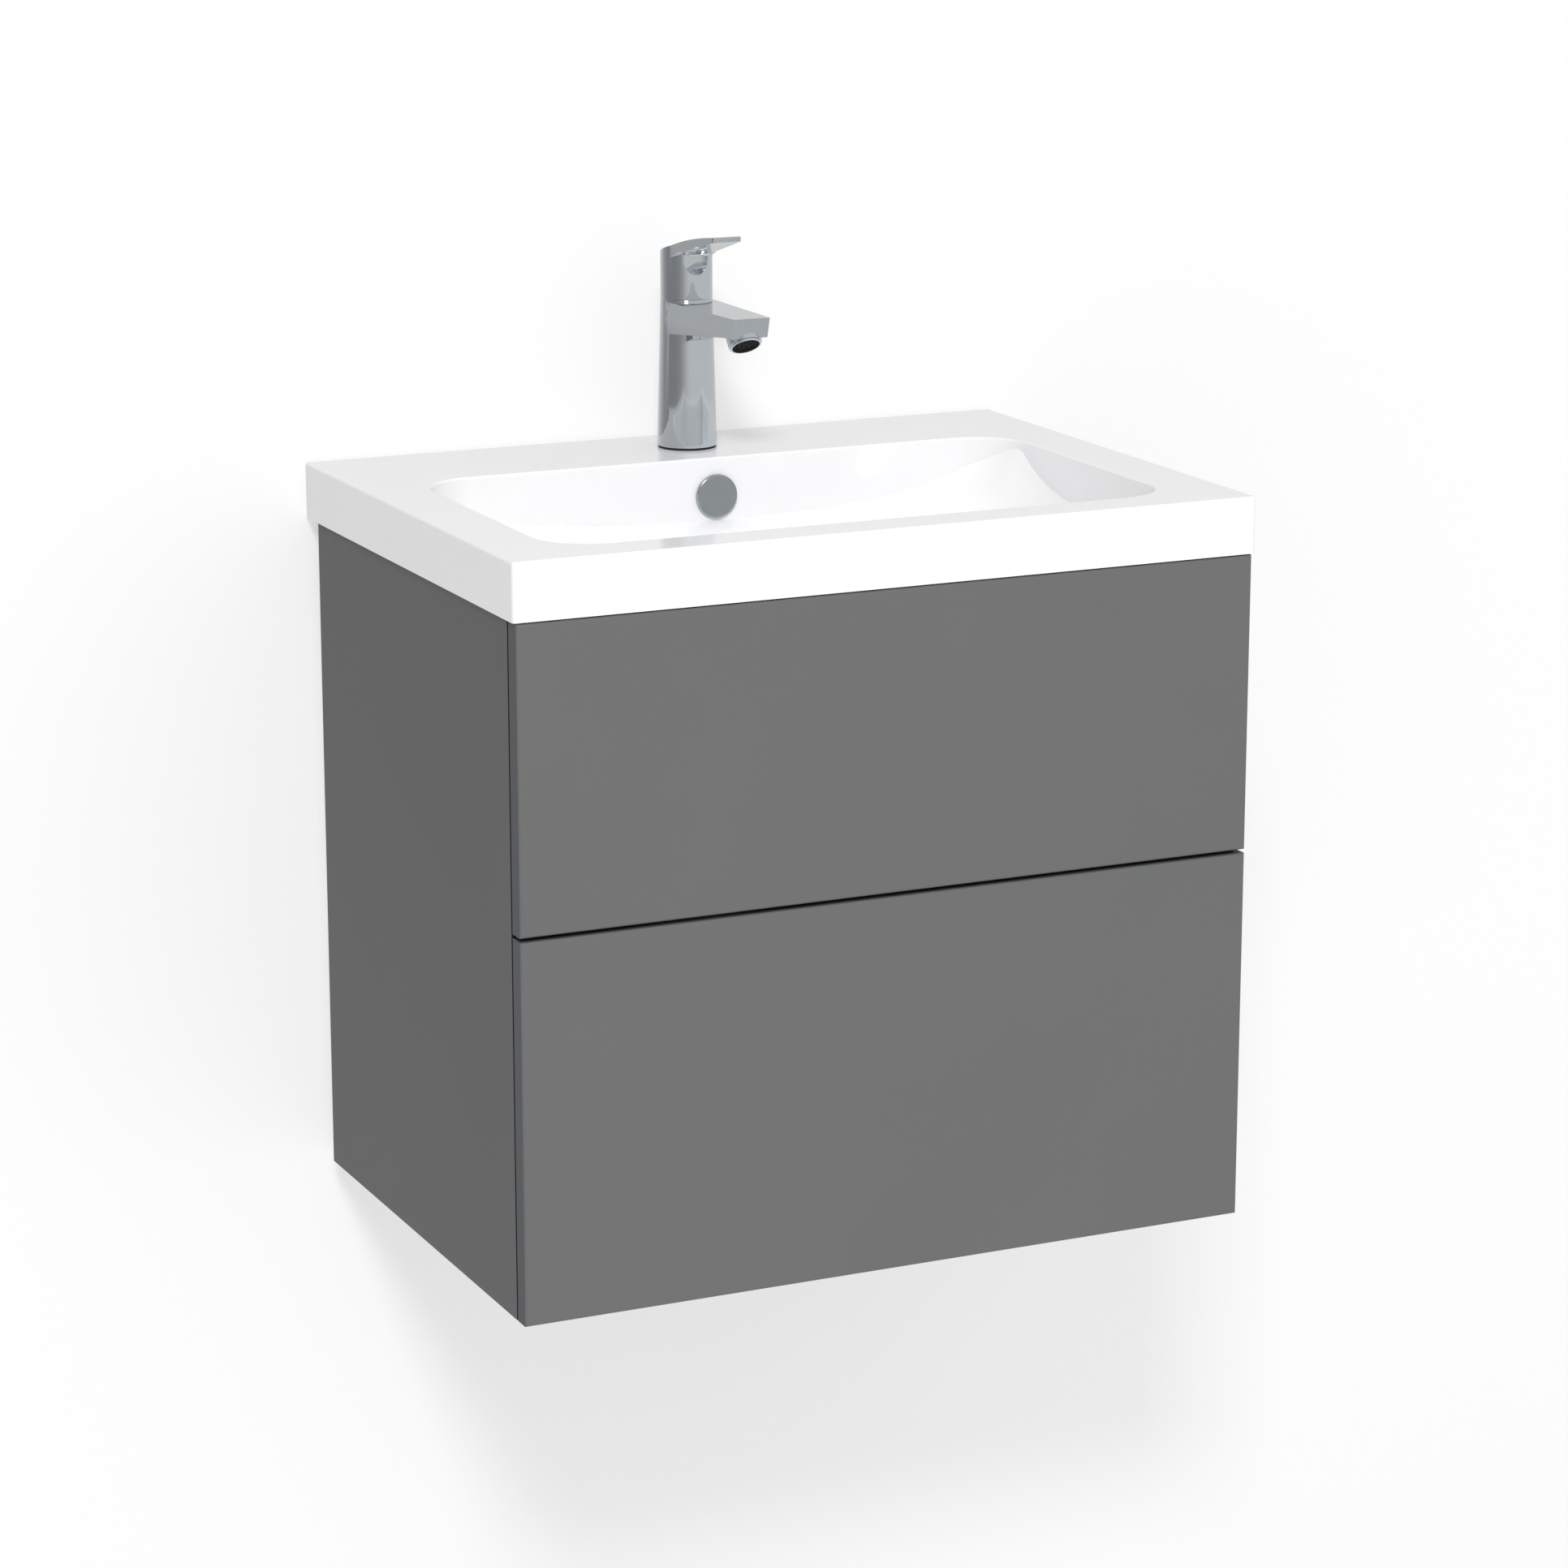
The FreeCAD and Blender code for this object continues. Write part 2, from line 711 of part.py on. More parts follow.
def side_profile(corners, half):
    """A plate of given half thickness, cut to corners given as (y, depth below the rim)."""
    points = [Vector(-half, y, rim_z - depth) for y, depth in corners]
    return Part.Face(Part.makePolygon(points + points[:1])).extrude(RIGHT * 2 * half)


def overflow_duct():
    """The hollow back of the bowl, from the overflow hole down to the drain boss."""
    near = opening_back_y + bowl_wall / 2
    far = near + duct_thickness
    corners = ((near, deck), (far, deck), (far, overflow_depth + duct_tail),
               (drain_y + drain_boss, drain_boss_depth), (drain_y, drain_boss_depth),
               (drain_y, drain_depth - bowl_wall), (opening_back_y, overflow_depth + duct_start))
    return side_profile(corners, duct_half_width)


def overflow_channel():
    near = opening_back_y + bowl_wall
    far = opening_back_y + bowl_wall / 2 + duct_thickness - duct_wall
    top = overflow_depth - overflow_radius
    low = drain_boss_depth - bowl_wall
    start_y = drain_y + waste_outer - channel_bury
    turn_y = drain_y + drain_boss + channel_turn
    high = low - channel_height
    corners = ((near, top), (far, top), (far, overflow_depth + channel_tail), (turn_y, low), (start_y, low),
               (start_y, high), (turn_y, high), (near, overflow_depth + channel_bend))
    return side_profile(corners, channel_half_width)


def basin():
    half = half_width + basin_overhang
    slab = block((-half, half), (front_y, 0), (carcass_top_z, rim_z))
    slab = slab.makeFillet(basin_corner, edges_along(slab, UP))
    slab = slab.makeFillet(basin_edge, edges_at(slab, 2, rim_z))
    pocket_x = (skirt - half, half - skirt)
    slab = slab.cut(block(pocket_x, (front_y + skirt, -skirt), (carcass_top_z, rim_z - deck)))
    shell = dish(bowl_wall).common(well(bowl_wall))
    shell = shell.cut(block((-half, half), (front_y, 0), (rim_z - deck / 2, rim_z + well_rise + bowl_wall)))
    boss_height = drain_boss_depth - drain_depth + boss_bury
    boss = rod(drain_boss, Vector(0, drain_y, rim_z - drain_boss_depth), UP, boss_height)
    body = slab.fuse(shell).fuse(boss).fuse(overflow_duct())
    body = body.cut(dish(0.0).common(well(0.0)))
    body = body.cut(rod(drain_hole, Vector(0, drain_y, rim_z - drain_boss_depth), UP, drain_boss_depth))
    body = body.cut(rod(flange_radius + seat_slack, Vector(0, drain_y, flange_seat_z), UP, drain_depth))
    body = body.cut(overflow_channel())
    hole_start = Vector(0, opening_back_y - bowl_wall, rim_z - overflow_depth)
    body = body.cut(rod(overflow_radius, hole_start, BACK, 2 * bowl_wall + cut_margin))
    return body.cut(rod(tap_hole, Vector(0, tap_y, rim_z - deck), UP, deck))


def build_basin():
    bowl = basin()
    save("basin", bowl)
    face_y = opening_back_y - cover_standoff - cover_thickness
    start = Vector(0, face_y, rim_z - overflow_depth)
    disc = rod(cover_radius, start, BACK, cover_thickness)
    disc = disc.makeFillet(cover_edge_radius, edges_at(disc, 1, face_y))
    save("overflow_cover", disc.fuse(rod(cover_stem, start, BACK, cover_thickness + cover_stem_length)))


# Waste: flanged tail, click plug, washer and nut, then a bottle trap with its pipe to the wall

plug_radius = flange_radius - plug_rim


def waste_flange():
    """Flange and tail, with cross bars that guide the plug and a window for the overflow."""
    axis = Vector(0, drain_y, flange_seat_z)
    flange = rod(flange_radius, axis, UP, flange_thickness)
    flange = flange.fuse(rod(waste_outer, axis, DOWN, waste_length))
    flange = flange.cut(rod(waste_inner, axis + UP * flange_thickness, DOWN, waste_length + flange_thickness))
    bar_z = (flange_seat_z - waste_bar_depth - waste_bar_height, flange_seat_z - waste_bar_depth)
    reach = waste_inner + waste_wall / 2
    half = waste_bar_width / 2
    for bar_x, bar_y in ((reach, half), (half, reach)):
        flange = flange.fuse(block((-bar_x, bar_x), (drain_y - bar_y, drain_y + bar_y), bar_z))
    guide_start = Vector(0, drain_y, bar_z[0])
    flange = flange.fuse(rod(plug_stem + waste_hub_wall, guide_start, UP, waste_bar_height))
    flange = flange.cut(rod(plug_stem + plug_fit, guide_start, UP, waste_bar_height))
    window_z = (boss_bottom_z + window_lift, boss_bottom_z + window_lift + window_height)
    window_y = (drain_y - window_width / 2, drain_y + window_width / 2)
    window = block((-waste_outer, waste_outer), window_y, window_z)
    core = rod(waste_inner - waste_wall, Vector(0, drain_y, window_z[0]), UP, window_height)
    return flange.cut(window.cut(core))


def waste_plug():
    base = Vector(0, drain_y, flange_top_z + plug_gap)
    cap = rod(plug_radius, base, UP, plug_thickness)
    cap = cap.makeFillet(2.0, edges_at(cap, 2, base.z + plug_thickness))
    return cap.fuse(rod(plug_stem, base, DOWN, plug_stem_length))


def trap_body():
    """Bottle body with the pipe socket at its side and the dip tube down its middle."""
    low = Vector(0, drain_y, trap_bottom_z)
    socket_start = Vector(0, drain_y, pipe_z)
    sleeve_start = Vector(0, drain_y, trap_top_z - dip_sleeve)
    sleeve_outer = waste_outer + trap_collar
    sleeve_inner = waste_outer + waste_fit
    shell = rod(trap_radius, low, UP, trap_height)
    shell = shell.fuse(rod(pipe_radius + socket_wall, socket_start, BACK, trap_radius + socket_reach))
    shell = shell.cut(rod(trap_radius - trap_wall, low, UP, trap_height - trap_wall))
    shell = shell.cut(rod(pipe_radius + pipe_fit, socket_start, BACK, trap_radius + socket_reach))
    shell = shell.cut(rod(sleeve_inner, sleeve_start, UP, dip_sleeve))
    sleeve = tube(sleeve_outer, sleeve_inner, sleeve_start, UP, dip_sleeve + collar_height)
    shelf = tube(sleeve_outer, waste_inner - dip_wall, sleeve_start - UP * dip_shelf, UP, dip_shelf)
    tail_length = trap_height - dip_sleeve + dip_drop
    tail = tube(waste_inner, waste_inner - dip_wall, low - UP * dip_drop, UP, tail_length)
    return shell.fuse(sleeve).fuse(shelf).fuse(tail)


def trap_cup():
    """The cup that unscrews from below for cleaning."""
    top = Vector(0, drain_y, trap_bottom_z)
    cup = rod(trap_radius + cup_wall, top, DOWN, cup_height)
    cup = cup.makeFillet(cup_edge_radius, edges_at(cup, 2, trap_bottom_z - cup_height))
    return cup.cut(rod(trap_radius - trap_wall / 2, top, DOWN, cup_height - cup_wall))


def outlet_pipe():
    """The pipe to the wall, with a ring that stops it in the wall socket."""
    start = Vector(0, drain_y + trap_radius + pipe_gap, pipe_z)
    pipe = rod(pipe_radius, start, BACK, -start.y)
    ring_start = Vector(0, -pipe_insertion - stop_ring_length, pipe_z)
    pipe = pipe.fuse(rod(pipe_radius + stop_ring_proud, ring_start, BACK, stop_ring_length))
    return pipe.cut(rod(pipe_radius - pipe_wall, start, BACK, -start.y))


def build_waste():
    save("waste_flange", waste_flange())
    save("waste_plug", waste_plug())
    below = Vector(0, drain_y, boss_bottom_z - washer_thickness)
    save("waste_washer", tube(washer_radius, waste_outer + waste_fit, below, UP, washer_thickness))
    nut_base = below - UP * waste_nut_height
    nut = hexagon(waste_outer + waste_nut_wall, nut_base, waste_nut_height)
    save("waste_nut", nut.cut(rod(waste_outer + thread_slack, nut_base, UP, waste_nut_height)))
    save("trap_body", trap_body())
    save("trap_cup", trap_cup())
    nut_low = Vector(0, drain_y, trap_top_z + trap_nut_gap)
    nut_outer = waste_outer + trap_collar + trap_nut_wall
    collar = tube(nut_outer, waste_outer + trap_collar + thread_slack, nut_low, UP, collar_height)
    lid_start = nut_low + UP * collar_height
    lid = tube(nut_outer, waste_outer + waste_fit, lid_start, UP, trap_nut_height - collar_height)
    save("trap_nut", collar.fuse(lid))
    save("outlet_pipe", outlet_pipe())


# Tap: a tapered body with its spout, an aerator, a cartridge under a domed nut, and the lever handle

def tap_point(reach, height, x=0.0):
    """A point in front of the tap's axis, at a height over the deck."""
    return Vector(x, tap_y - reach, rim_z + height)


def tap_plate(corners, half):
    """A plate through the tap's middle, cut to corners given as (reach, height)."""
    points = [tap_point(reach, height, -half) for reach, height in corners]
    return Part.Face(Part.makePolygon(points + points[:1])).extrude(RIGHT * 2 * half)


def tapered_plan(root, tip, reach, low, high):
    """A block whose plan narrows from the tap's axis to a tip."""
    corners = [tap_point(0, low, -root), tap_point(reach, low, -tip), tap_point(reach, low, tip),
               tap_point(0, low, root)]
    outline = Part.Face(Part.makePolygon(corners + corners[:1]))
    return outline.extrude(UP * (high - low))


def aerator_axis():
    """Where the aerator's mouth is, and the way the water leaves it."""
    tilt = math.radians(aerator_tilt)
    return tap_point(aerator_reach, aerator_height), Vector(0, -math.sin(tilt), -math.cos(tilt))


def spout():
    corners = ((0, spout_top_root), (spout_reach, spout_top_tip), (spout_chin_reach, spout_chin),
               (spout_heel_reach, spout_heel), (0, spout_under_root))
    blank = tap_plate(corners, spout_root_half_width)
    plan_reach = spout_reach + cut_margin
    plan = tapered_plan(spout_root_half_width, spout_tip_half_width, plan_reach, 0, 2 * tap_joint)
    keel_corners = ((0, keel_root), (keel_reach, keel_tip), (0, spout_under_root + keel_bury))
    keel = tap_plate(keel_corners, keel_half_width)
    mouth, way = aerator_axis()
    boss = rod(aerator_boss, mouth, way * -1, aerator_boss_length)
    boss_corners = ((mouth_back, mouth_low), (spout_reach + mouth_past, mouth_low),
                    (spout_reach, spout_top_tip), (mouth_back, spout_top_tip - mouth_lid))
    boss = boss.common(tap_plate(boss_corners, aerator_boss))
    return blank.common(plan).fuse(keel).fuse(boss)


def tap_body():
    base = Vector(0, tap_y, rim_z + tap_gasket_thickness)
    pivot = Vector(0, tap_y, pivot_z)
    height = tap_joint - tap_gasket_thickness
    column = Part.makeCone(tap_base_radius, tap_top_radius, height, base, UP)
    column = column.fuse(rod(tap_top_radius, base + UP * height, UP, pivot_drop))
    body = column.fuse(spout())
    above = rod(tap_top_radius + handle_swing, pivot, UP, tap_joint)
    body = body.cut(above.cut(Part.makeSphere(joint_sphere, pivot)))
    body = body.cut(rod(nut_radius, pivot - UP * nut_seat, UP, tap_joint))
    body = body.cut(rod(cartridge_radius, pivot - UP * cartridge_depth, UP, tap_joint))
    feed_length = pivot_z - cartridge_depth - base.z + cut_margin
    for side in (-1, 1):
        inlet = Vector(side * inlet_offset, tap_y - inlet_forward, base.z)
        body = body.cut(rod(inlet_radius, inlet, UP, inlet_depth))
        body = body.cut(rod(feed_radius, inlet, UP, feed_length))
    stud = Vector(0, tap_y + stud_back, base.z)
    body = body.cut(rod(stud_radius + thread_slack, stud, UP, inlet_depth))
    mouth, way = aerator_axis()
    body = body.cut(rod(aerator_radius + thread_slack, mouth, way * -1, aerator_length))
    passage_start = tap_point(cartridge_radius - passage_bury, passage_height)
    passage_end = mouth - way * (aerator_length + cut_margin)
    run = passage_end - passage_start
    return body.cut(rod(passage_radius, passage_start, run, run.Length))


def aerator_housing():
    mouth, way = aerator_axis()
    start = mouth + way * aerator_proud
    length = aerator_length + aerator_proud - aerator_seat_gap
    return tube(aerator_radius, aerator_bore, start, way * -1, length)


def aerator_insert():
    mouth, way = aerator_axis()
    start = mouth + way * (aerator_proud - insert_recess)
    disc = rod(aerator_bore - thread_slack, start, way * -1, insert_thickness)
    across = way.cross(RIGHT)
    for ring, count in insert_rings:
        for step in range(count):
            angle = 2 * math.pi * step / count
            offset = RIGHT * (ring * math.cos(angle)) + across * (ring * math.sin(angle))
            disc = disc.cut(rod(insert_hole, start + offset, way * -1, insert_thickness))
    return disc


def cartridge_housing():
    base = Vector(0, tap_y, pivot_z - cartridge_depth)
    shell = rod(cartridge_radius - thread_slack, base, UP, cartridge_depth - nut_seat)
    bore = cartridge_radius - cartridge_wall + spindle_fit
    return shell.cut(rod(bore, base + UP * cartridge_floor, UP, cartridge_depth))


def cartridge_nut():
    pivot = Vector(0, tap_y, pivot_z)
    dome = Part.makeSphere(joint_sphere, pivot)
    foot = pivot - UP * (nut_seat - thread_slack)
    ring = tube(nut_radius - thread_slack, nut_bore, foot, UP, tap_joint)
    return ring.common(dome)


def cartridge_spindle():
    pivot = Vector(0, tap_y, pivot_z)
    radius = cartridge_radius - cartridge_wall
    length = cartridge_depth - cartridge_floor - spindle_foot_gap + spindle_rise
    spindle = rod(radius, pivot + UP * (spindle_rise - length), UP, length)
    slot = block((-spindle_slot, spindle_slot), (tap_y - radius, tap_y + radius),
                 (pivot_z - spindle_slot_depth, pivot_z + spindle_rise))
    spindle = spindle.cut(slot)
    reach = pin_half_length + cut_margin
    return spindle.cut(rod(pin_radius + pin_seat, pivot - RIGHT * reach, RIGHT, 2 * reach))


def handle_stem():
    pivot = Vector(0, tap_y, pivot_z)
    stem = rod(stem_radius, pivot - UP * stem_foot, UP, stem_foot + stem_rise)
    pin_start = pivot - RIGHT * pin_half_length
    return stem.cut(rod(pin_radius + pin_fit, pin_start, RIGHT, 2 * pin_half_length))


def handle():
    """A round cap that runs out into a flat lever, hollowed underneath for the fingers."""
    joint = tap_joint + joint_gap
    under_tip_height = lever_tip_top - lever_tip_thickness
    back = tap_point(-tap_top_radius - cut_margin, cap_back_top)
    middle = tap_point(lever_mid_reach, lever_mid_top)
    tip = tap_point(lever_reach, lever_tip_top)
    under_tip = tap_point(lever_reach - cut_margin, under_tip_height)
    under = tap_point(lever_under_reach, lever_under_height)
    foot = tap_point(lever_under_reach, joint)
    heel = tap_point(-tap_top_radius - cut_margin, joint)
    top_curve = Part.Arc(back, middle, tip).toShape()
    corners = [tip, under_tip, under, foot, heel, back]
    sides = [Part.LineSegment(a, b).toShape() for a, b in zip(corners, corners[1:])]
    profile = Part.Face(Part.Wire([top_curve] + sides))
    profile.translate(RIGHT * -2 * tap_top_radius)
    side_view = profile.extrude(RIGHT * 4 * tap_top_radius)
    cap = rod(tap_top_radius, Vector(0, tap_y, rim_z + joint), UP, lever_tip_top - joint)
    plan_reach = lever_reach + cut_margin
    plan_top = lever_tip_top + cut_margin
    lever = tapered_plan(lever_root_half_width, lever_tip_half_width, plan_reach, joint, plan_top)
    lever = lever.makeFillet(lever_corner, edges_along(lever, UP)[1:3])
    below = tap_plate(((0, joint), (lever_reach, joint), (lever_reach, under_tip_height),
                       (lever_under_reach, lever_under_height), (0, scoop_back_height)), tap_top_radius)
    body = side_view.common(cap).fuse(side_view.common(lever).cut(below))
    scoop = Part.makeSphere(scoop_radius, tap_point(scoop_reach, scoop_height))
    body = body.cut(scoop.common(below))
    pivot = Vector(0, tap_y, pivot_z)
    body = body.cut(Part.makeSphere(joint_sphere + joint_gap, pivot))
    return body.cut(rod(stem_radius + stem_fit, pivot, UP, stem_rise + stem_top_gap))


def clamp_plate():
    """A horseshoe washer that leaves room for the two supply hoses."""
    top = Vector(0, tap_y, rim_z - deck)
    plate = rod(clamp_radius, top, DOWN, clamp_thickness)
    slot_y = (tap_y - clamp_radius, tap_y + clamp_slot_reach)
    plate = plate.cut(block((-clamp_slot, clamp_slot), slot_y, (top.z - clamp_thickness, top.z)))
    return plate.cut(rod(stud_radius + thread_slack, top + BACK * stud_back, DOWN, clamp_thickness))


def build_tap():
    deck_point = Vector(0, tap_y, rim_z)
    save("tap_gasket", tube(tap_base_radius - gasket_inset, tap_hole, deck_point, UP, tap_gasket_thickness))
    save("tap_body", tap_body())
    save("aerator_housing", aerator_housing())
    save("aerator_insert", aerator_insert())
    save("cartridge_housing", cartridge_housing())
    save("cartridge_nut", cartridge_nut())
    save("cartridge_spindle", cartridge_spindle())
    pin_start = Vector(-pin_half_length, tap_y, pivot_z)
    save("spindle_pin", rod(pin_radius, pin_start, RIGHT, 2 * pin_half_length))
    save("handle", handle())
    save("handle_stem", handle_stem())
    stud_top = Vector(0, tap_y + stud_back, rim_z + tap_gasket_thickness + inlet_depth - stud_gap)
    save("tap_stud", rod(stud_radius, stud_top, DOWN, inlet_depth + stud_length))
    save("clamp_plate", clamp_plate())
    nut_base = Vector(0, tap_y + stud_back, rim_z - deck - clamp_thickness - stud_nut_height)
    nut = hexagon(stud_nut_radius, nut_base, stud_nut_height)
    save("stud_nut", nut.cut(rod(stud_radius + thread_slack, nut_base, UP, stud_nut_height)))


os.makedirs("parts", exist_ok=True)
build_carcass()
build_hanging()
build_lower_drawer()
build_upper_drawer()
build_runners("lower", lower_box_z)
build_runners("upper", upper_box_z)
build_latch("lower", 0.0, lower_box_z)
build_latch("upper", drawer_inner_x - latch_inset, upper_box_z)
build_basin()
build_waste()
build_tap()
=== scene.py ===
import bmesh
import bpy
import json
import math
from mathutils import Matrix, Vector


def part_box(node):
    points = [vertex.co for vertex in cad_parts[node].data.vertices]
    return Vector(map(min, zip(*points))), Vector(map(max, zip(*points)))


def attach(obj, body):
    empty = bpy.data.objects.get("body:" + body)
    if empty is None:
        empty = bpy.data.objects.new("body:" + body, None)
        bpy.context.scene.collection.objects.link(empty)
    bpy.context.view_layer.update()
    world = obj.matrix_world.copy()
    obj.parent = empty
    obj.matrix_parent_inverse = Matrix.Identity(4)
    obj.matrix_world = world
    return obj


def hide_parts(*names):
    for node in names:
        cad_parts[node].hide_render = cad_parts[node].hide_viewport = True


# Wall-hung bathroom vanity, in metres. +X runs to the right, +Y into the wall, and the drawers face -Y.

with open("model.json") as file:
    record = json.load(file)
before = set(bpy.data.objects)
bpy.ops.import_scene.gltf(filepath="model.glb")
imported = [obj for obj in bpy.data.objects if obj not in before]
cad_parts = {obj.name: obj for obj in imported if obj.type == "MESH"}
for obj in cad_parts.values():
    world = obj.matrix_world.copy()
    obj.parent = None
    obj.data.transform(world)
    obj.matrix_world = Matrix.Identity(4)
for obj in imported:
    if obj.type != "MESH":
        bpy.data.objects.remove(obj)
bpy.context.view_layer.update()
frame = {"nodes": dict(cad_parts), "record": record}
row_slots = {part["node"]: part["material_slot"] for part in frame["record"]["subparts"]}
row_bodies = {node: body for body, nodes in frame["record"]["behaviour"]["bodies"].items() for node in nodes}


# Cabinet boards. Chipboard faced with grey satin melamine, cut square and joined by hidden dowels.
# The melamine has a very fine pearl texture that breaks the gloss.

def linear(hex_colour):
    """An sRGB hex colour as the linear colour that a shader takes."""
    channels = [int(hex_colour[place:place + 2], 16) / 255 for place in (1, 3, 5)]
    return [c / 12.92 if c <= 0.04045 else ((c + 0.055) / 1.055) ** 2.4 for c in channels] + [1.0]


def add_node(material, kind, settings, links):
    """Adds one shader node, with settings by property or socket and links by socket."""
    node = material.node_tree.nodes.new(kind)
    for name, value in settings.items():
        if isinstance(name, str) and hasattr(node, name):
            setattr(node, name, value)
        else:
            node.inputs[name].default_value = value
    for name, source in links.items():
        material.node_tree.links.new(source, node.inputs[name])
    return node


def new_finish(name, settings):
    """A material with one principled shader and the object's own coordinates, both returned with it."""
    material = bpy.data.materials.new(name)
    material.use_nodes = True
    material.node_tree.nodes.clear()
    place = add_node(material, "ShaderNodeTexCoord", {}, {}).outputs["Object"]
    shader = add_node(material, "ShaderNodeBsdfPrincipled", settings, {})
    add_node(material, "ShaderNodeOutputMaterial", {}, {"Surface": shader.outputs["BSDF"]})
    return material, place, shader


def roughen(material, place, shader, grain, height):
    """Gives a surface its fine relief: grain is the size of a grain and height its depth, in metres."""
    grit = add_node(material, "ShaderNodeTexNoise", {"Scale": 1 / grain, "Detail": 3.0}, {"Vector": place})
    relief = add_node(
        material, "ShaderNodeBump", {"Strength": 1.0, "Distance": height}, {"Height": grit.outputs[0]})
    material.node_tree.links.new(relief.outputs["Normal"], shader.inputs["Normal"])


def tint(material, place, shader, patch, dark, light):
    """Drifts the colour between two close tones over patches of a given size in metres."""
    drift = add_node(material, "ShaderNodeTexNoise", {"Scale": 1 / patch, "Detail": 4.0}, {"Vector": place})
    tones = add_node(material, "ShaderNodeMix", {"data_type": "RGBA"}, {0: drift.outputs[0]})
    tones.inputs[6].default_value = linear(dark)
    tones.inputs[7].default_value = linear(light)
    material.node_tree.links.new(tones.outputs[2], shader.inputs["Base Color"])


def dress(slot, material):
    """Puts a finish on every frame node that has this slot in the record."""
    for node, node_slot in row_slots.items():
        if node_slot == slot:
            mesh = frame["nodes"][node].data
            mesh.materials.clear()
            mesh.materials.append(material)


laminate, place, shader = new_finish(
    "satin melamine laminate", {"Roughness": 0.45, "Specular IOR Level": 0.3})
tint(laminate, place, shader, patch=0.09, dark="#575858", light="#5b5b5c")
roughen(laminate, place, shader, grain=0.0009, height=0.00001)
dress("carcass_laminate", laminate)


# Back board and dowels. Thin hardboard, pale on its faced side, slid into grooves in the side boards.
# The dowels are turned beech, glued in.

hardboard, place, shader = new_finish("pale hardboard", {"Roughness": 0.7})
tint(hardboard, place, shader, patch=0.004, dark="#aeaca6", light="#bfbdb7")
roughen(hardboard, place, shader, grain=0.0012, height=0.00004)
dress("back_hardboard", hardboard)

beech, place, shader = new_finish("turned beech", {"Roughness": 0.6})
tint(beech, place, shader, patch=0.003, dark="#b98f58", light="#d0ab74")
dress("dowel_beech", beech)


# Drawer boxes. Chipboard with a light grey matt melamine face, the bottom held in grooves.
# The melamine's print shows faint cloudy fibres.

drawer_laminate, place, shader = new_finish("matt melamine laminate", {"Roughness": 0.55})
tint(drawer_laminate, place, shader, patch=0.03, dark="#8a8c8e", light="#929496")
roughen(drawer_laminate, place, shader, grain=0.0008, height=0.00002)
dress("drawer_laminate", drawer_laminate)


# Drawer fronts. Fibreboard sprayed with grey satin lacquer, with the front edges rounded before spraying.
# Each hides the carcass edges behind it and has no handle.

front_edge_radius = 0.0025
back_edge_radius = 0.0003
on_face = 1e-5
square_on = 0.95


def edit(piece):
    """Selects a piece alone and opens it in edit mode with nothing selected."""
    if bpy.context.mode != "OBJECT":
        bpy.ops.object.mode_set(mode="OBJECT")
    bpy.ops.object.select_all(action="DESELECT")
    piece.select_set(True)
    bpy.context.view_layer.objects.active = piece
    bpy.ops.object.mode_set(mode="EDIT")
    bpy.ops.mesh.select_all(action="DESELECT")


def select_edges(piece, wanted):
    """In edit mode, selects the edges whose two ends both pass a test."""
    bpy.ops.mesh.select_mode(type="EDGE")
    bpy.ops.mesh.select_all(action="DESELECT")
    shape = bmesh.from_edit_mesh(piece.data)
    for edge in shape.edges:
        edge.select_set(all(wanted(vertex.co) for vertex in edge.verts))
    bmesh.update_edit_mesh(piece.data)


def block(name, low, high):
    """A block between two corners, with its place in its mesh."""
    bpy.ops.object.select_all(action="DESELECT")
    middle = (Vector(low) + Vector(high)) / 2
    bpy.ops.mesh.primitive_cube_add(size=1, location=middle, scale=Vector(high) - Vector(low))
    bpy.ops.object.transform_apply(location=True, rotation=True, scale=True)
    piece = bpy.context.object
    piece.name = name
    return piece


def smooth(piece, angle=30):
    """Shades curves smooth and keeps broad flat faces flat."""
    if bpy.context.mode != "OBJECT":
        bpy.ops.object.mode_set(mode="OBJECT")
    bpy.ops.object.select_all(action="DESELECT")
    piece.select_set(True)
    bpy.context.view_layer.objects.active = piece
    bpy.ops.object.shade_smooth_by_angle(angle=math.radians(angle))
    piece.modifiers.new("even shading", "WEIGHTED_NORMAL").keep_sharp = True
    bpy.ops.object.modifier_apply(modifier="even shading")


def stand_in(piece, material, *nodes):
    """The piece takes a material and the body of frame nodes, which are hidden."""
    piece.data.materials.clear()
    piece.data.materials.append(material)
    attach(piece, row_bodies[nodes[0]])
    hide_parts(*nodes)


lacquer, place, shader = new_finish("satin lacquer", {"Roughness": 0.4, "Specular IOR Level": 0.3})
tint(lacquer, place, shader, patch=0.12, dark="#676868", light="#6a6b6a")
roughen(lacquer, place, shader, grain=0.0015, height=0.000008)
dress("front_lacquer", lacquer)

# The front's edge faces get a darker, bluer copy of the lacquer: painted shade for the less light that falls
# on them
edge_shade_lacquer, place, shader = new_finish(
    "satin lacquer with painted edge shade", {"Roughness": 0.5, "Specular IOR Level": 0.2})
tint(edge_shade_lacquer, place, shader, patch=0.12, dark="#505357", light="#54575b")
roughen(edge_shade_lacquer, place, shader, grain=0.0015, height=0.000008)


def shade_faces_by_normal(piece, material, wanted):
    """Gives a second material, painted shade, to the faces of a piece whose normals pass a test."""
    piece.data.materials.append(material)
    for face in piece.data.polygons:
        if wanted(face.normal):
            face.material_index = 1


for node in ("lower_front", "upper_front"):
    low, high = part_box(node)
    front = block(node + "_panel", low, high)
    edit(front)
    select_edges(front, lambda place: place.y < low[1] + on_face)
    bpy.ops.mesh.bevel(offset=front_edge_radius, segments=6)
    select_edges(front, lambda place: place.y > high[1] - on_face)
    bpy.ops.mesh.bevel(offset=back_edge_radius, segments=1)
    smooth(front)
    stand_in(front, lacquer, node)
    # Painted shade: the edge faces take the darker copy of the lacquer
    shade_faces_by_normal(front, edge_shade_lacquer, lambda normal: max(abs(normal.x), abs(normal.z)) > square_on)


